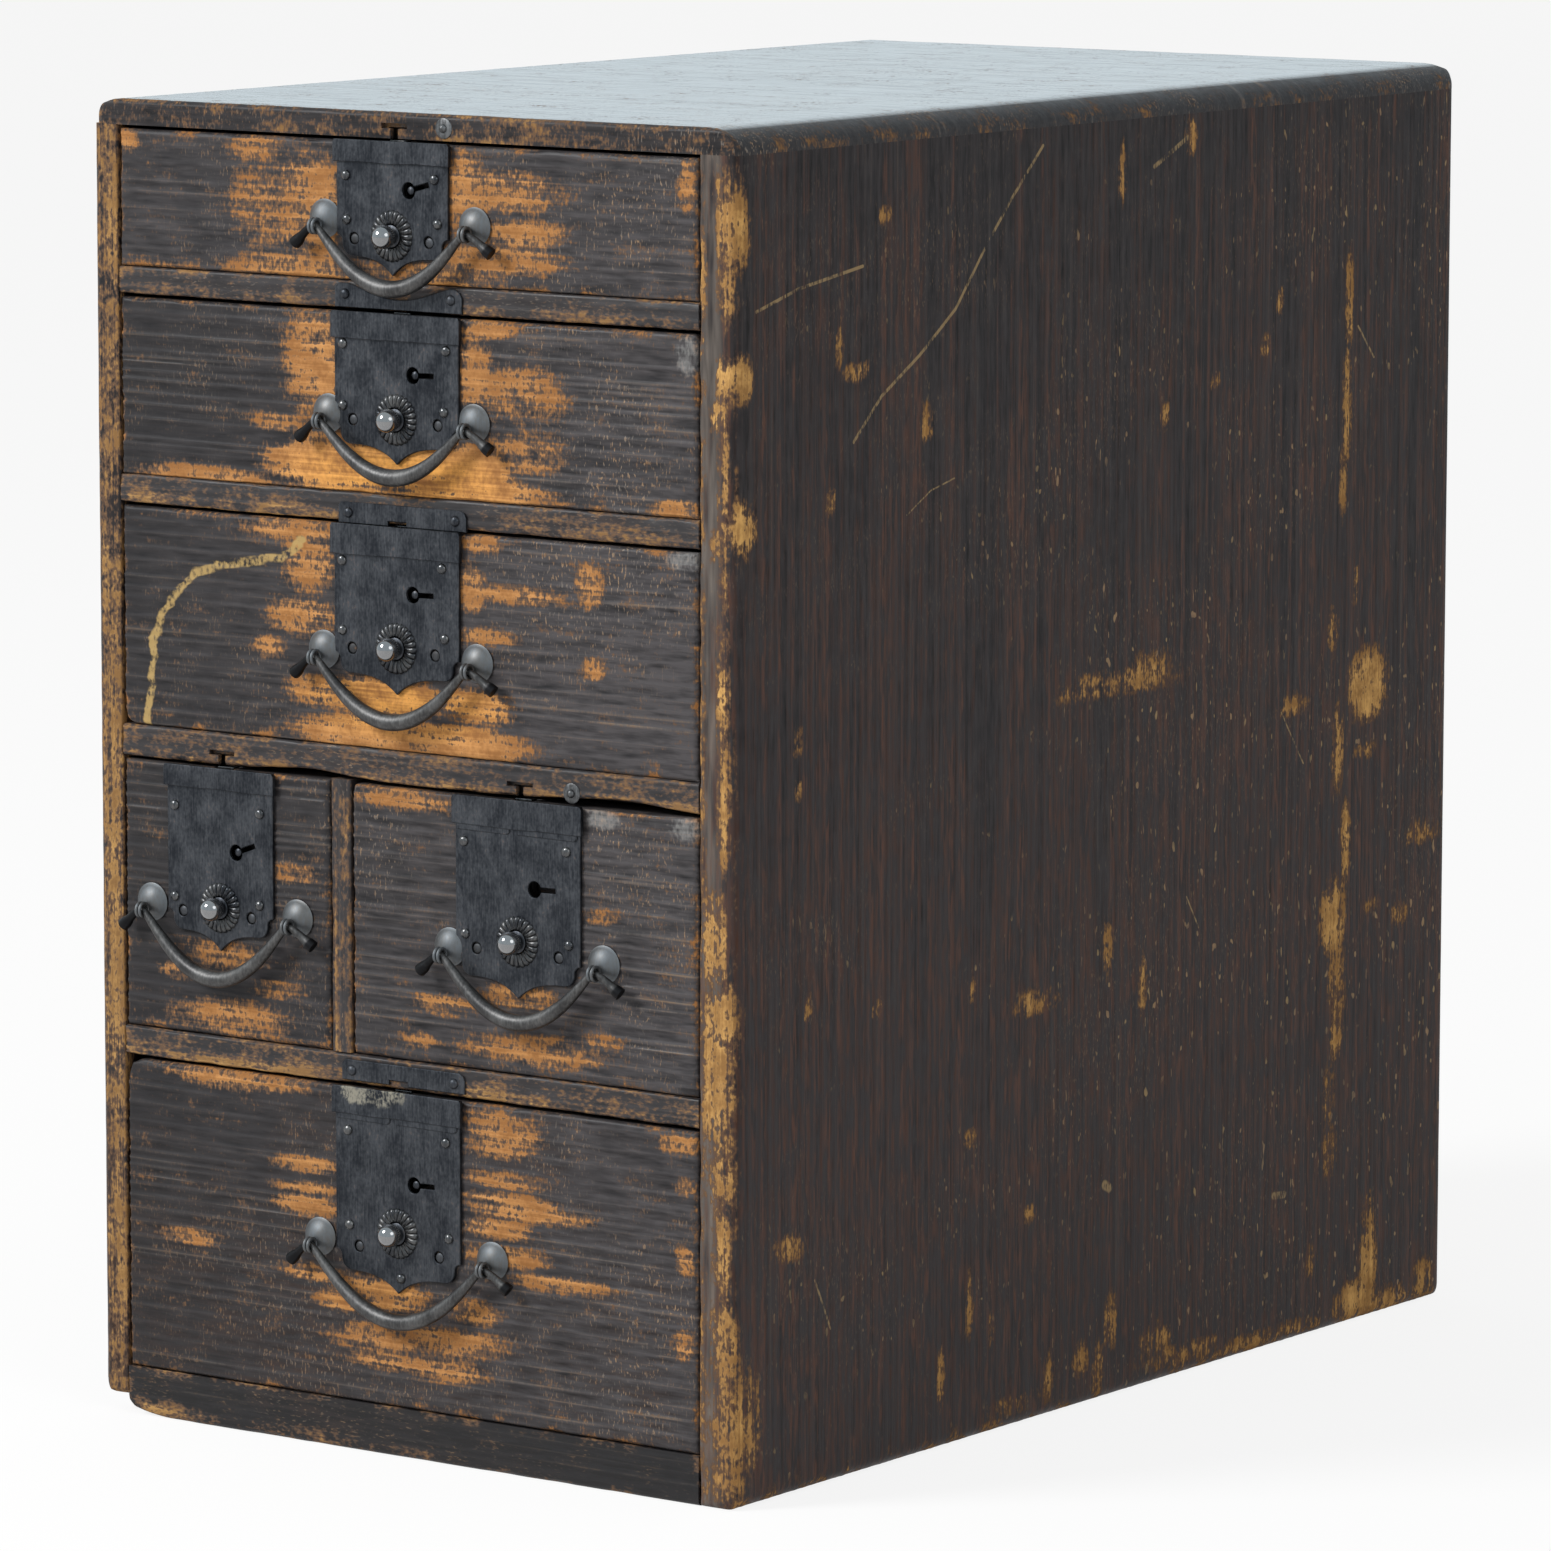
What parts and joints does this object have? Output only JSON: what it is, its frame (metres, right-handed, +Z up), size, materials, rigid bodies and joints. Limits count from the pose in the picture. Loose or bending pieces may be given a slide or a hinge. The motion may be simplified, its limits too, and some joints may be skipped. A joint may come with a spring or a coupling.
{
  "type": "tansu chest",
  "caption": "Small upright tansu chest of dark stained wood with sliding drawers, iron lock plates with push buttons and rising bolts, and swinging iron drop handles.",
  "frame": {"origin": "on the surface the chest stands on, under the middle of its width and depth", "axes": "+X to the right seen from the front, -Y out of the drawer fronts, +Z up"},
  "size_m": [0.273, 0.4561, 0.457],
  "materials": {
    "case_wood": "dark stain, rubbed",
    "front_wood": "dark stain worn through to bare wood round the iron",
    "bare_wood": "bare, dull",
    "iron": "blackened, satin"
  },
  "bodies": {
    "carcass": {"top_board": "case_wood", "bottom_board": "case_wood", "side_left": "case_wood", "side_right": "case_wood", "back_panel": "bare_wood", "shelf_1": "case_wood", "shelf_2": "case_wood", "shelf_3": "case_wood", "shelf_4": "case_wood", "divider": "case_wood"},
    "drawer_1": {"drawer_1_front": "front_wood", "drawer_1_tray": "bare_wood", "drawer_1_lock_plate": "iron", "drawer_1_post_left": "iron", "drawer_1_post_right": "iron"},
    "bail_1": {"drawer_1_bail": "iron"},
    "button_1": {"drawer_1_lock_button": "iron"},
    "bolt_1": {"drawer_1_lock_bolt": "iron"},
    "drawer_2": {"drawer_2_front": "front_wood", "drawer_2_tray": "bare_wood", "drawer_2_lock_plate": "iron", "drawer_2_post_left": "iron", "drawer_2_post_right": "iron"},
    "bail_2": {"drawer_2_bail": "iron"},
    "button_2": {"drawer_2_lock_button": "iron"},
    "bolt_2": {"drawer_2_lock_bolt": "iron"},
    "drawer_3": {"drawer_3_front": "front_wood", "drawer_3_tray": "bare_wood", "drawer_3_lock_plate": "iron", "drawer_3_post_left": "iron", "drawer_3_post_right": "iron"},
    "bail_3": {"drawer_3_bail": "iron"},
    "button_3": {"drawer_3_lock_button": "iron"},
    "bolt_3": {"drawer_3_lock_bolt": "iron"},
    "drawer_4": {"drawer_4_front": "front_wood", "drawer_4_tray": "bare_wood", "drawer_4_lock_plate": "iron", "drawer_4_post_left": "iron", "drawer_4_post_right": "iron"},
    "bail_4": {"drawer_4_bail": "iron"},
    "button_4": {"drawer_4_lock_button": "iron"},
    "bolt_4": {"drawer_4_lock_bolt": "iron"},
    "drawer_5": {"drawer_5_front": "front_wood", "drawer_5_tray": "bare_wood", "drawer_5_lock_plate": "iron", "drawer_5_post_left": "iron", "drawer_5_post_right": "iron"},
    "bail_5": {"drawer_5_bail": "iron"},
    "button_5": {"drawer_5_lock_button": "iron"},
    "bolt_5": {"drawer_5_lock_bolt": "iron"},
    "drawer_6": {"drawer_6_front": "front_wood", "drawer_6_tray": "bare_wood", "drawer_6_lock_plate": "iron", "drawer_6_post_left": "iron", "drawer_6_post_right": "iron"},
    "bail_6": {"drawer_6_bail": "iron"},
    "button_6": {"drawer_6_lock_button": "iron"},
    "bolt_6": {"drawer_6_lock_bolt": "iron"}
  },
  "joints": [
    {"name": "drawer_1_slide", "type": "slide", "parent": "carcass", "child": "drawer_1", "axis": [0, -1, 0], "range_m": [0, 0.36]},
    {"name": "bail_1_swing", "type": "hinge", "parent": "drawer_1", "child": "bail_1", "pos_m": [-0.0022, -0.2287, 0.4182], "axis": [-1, 0, 0], "range_deg": [0, 165]},
    {"name": "button_1_press", "type": "slide", "parent": "drawer_1", "child": "button_1", "axis": [0, 1, 0], "range_m": [0, 0.004]},
    {"name": "bolt_1_rise", "type": "slide", "parent": "drawer_1", "child": "bolt_1", "axis": [0, 0, 1], "range_m": [0, 0.004]},
    {"name": "drawer_2_slide", "type": "slide", "parent": "carcass", "child": "drawer_2", "axis": [0, -1, 0], "range_m": [0, 0.36]},
    {"name": "bail_2_swing", "type": "hinge", "parent": "drawer_2", "child": "bail_2", "pos_m": [-0.0019, -0.2287, 0.3528], "axis": [-1, 0, 0], "range_deg": [0, 165]},
    {"name": "button_2_press", "type": "slide", "parent": "drawer_2", "child": "button_2", "axis": [0, 1, 0], "range_m": [0, 0.004]},
    {"name": "bolt_2_rise", "type": "slide", "parent": "drawer_2", "child": "bolt_2", "axis": [0, 0, 1], "range_m": [0, 0.004]},
    {"name": "drawer_3_slide", "type": "slide", "parent": "carcass", "child": "drawer_3", "axis": [0, -1, 0], "range_m": [0, 0.36]},
    {"name": "bail_3_swing", "type": "hinge", "parent": "drawer_3", "child": "bail_3", "pos_m": [-0.0027, -0.2287, 0.2726], "axis": [-1, 0, 0], "range_deg": [0, 165]},
    {"name": "button_3_press", "type": "slide", "parent": "drawer_3", "child": "button_3", "axis": [0, 1, 0], "range_m": [0, 0.004]},
    {"name": "bolt_3_rise", "type": "slide", "parent": "drawer_3", "child": "bolt_3", "axis": [0, 0, 1], "range_m": [0, 0.004]},
    {"name": "drawer_4_slide", "type": "slide", "parent": "carcass", "child": "drawer_4", "axis": [0, -1, 0], "range_m": [0, 0.36]},
    {"name": "bail_4_swing", "type": "hinge", "parent": "drawer_4", "child": "bail_4", "pos_m": [-0.0797, -0.2287, 0.1793], "axis": [-1, 0, 0], "range_deg": [0, 165]},
    {"name": "button_4_press", "type": "slide", "parent": "drawer_4", "child": "button_4", "axis": [0, 1, 0], "range_m": [0, 0.004]},
    {"name": "bolt_4_rise", "type": "slide", "parent": "drawer_4", "child": "bolt_4", "axis": [0, 0, 1], "range_m": [0, 0.004]},
    {"name": "drawer_5_slide", "type": "slide", "parent": "carcass", "child": "drawer_5", "axis": [0, -1, 0], "range_m": [0, 0.36]},
    {"name": "bail_5_swing", "type": "hinge", "parent": "drawer_5", "child": "bail_5", "pos_m": [0.0503, -0.2287, 0.176], "axis": [-1, 0, 0], "range_deg": [0, 165]},
    {"name": "button_5_press", "type": "slide", "parent": "drawer_5", "child": "button_5", "axis": [0, 1, 0], "range_m": [0, 0.004]},
    {"name": "bolt_5_rise", "type": "slide", "parent": "drawer_5", "child": "bolt_5", "axis": [0, 0, 1], "range_m": [0, 0.004]},
    {"name": "drawer_6_slide", "type": "slide", "parent": "carcass", "child": "drawer_6", "axis": [0, -1, 0], "range_m": [0, 0.36]},
    {"name": "bail_6_swing", "type": "hinge", "parent": "drawer_6", "child": "bail_6", "pos_m": [-0.0015, -0.2287, 0.0706], "axis": [-1, 0, 0], "range_deg": [0, 165]},
    {"name": "button_6_press", "type": "slide", "parent": "drawer_6", "child": "button_6", "axis": [0, 1, 0], "range_m": [0, 0.004]},
    {"name": "bolt_6_rise", "type": "slide", "parent": "drawer_6", "child": "bolt_6", "axis": [0, 0, 1], "range_m": [0, 0.004]}
  ],
  "couplings": [
    {"joint": "bolt_1_rise", "follows": "button_1_press", "ratio": 1},
    {"joint": "bolt_2_rise", "follows": "button_2_press", "ratio": 1},
    {"joint": "bolt_3_rise", "follows": "button_3_press", "ratio": 1},
    {"joint": "bolt_4_rise", "follows": "button_4_press", "ratio": 1},
    {"joint": "bolt_5_rise", "follows": "button_5_press", "ratio": 1},
    {"joint": "bolt_6_rise", "follows": "button_6_press", "ratio": 1}
  ]
}
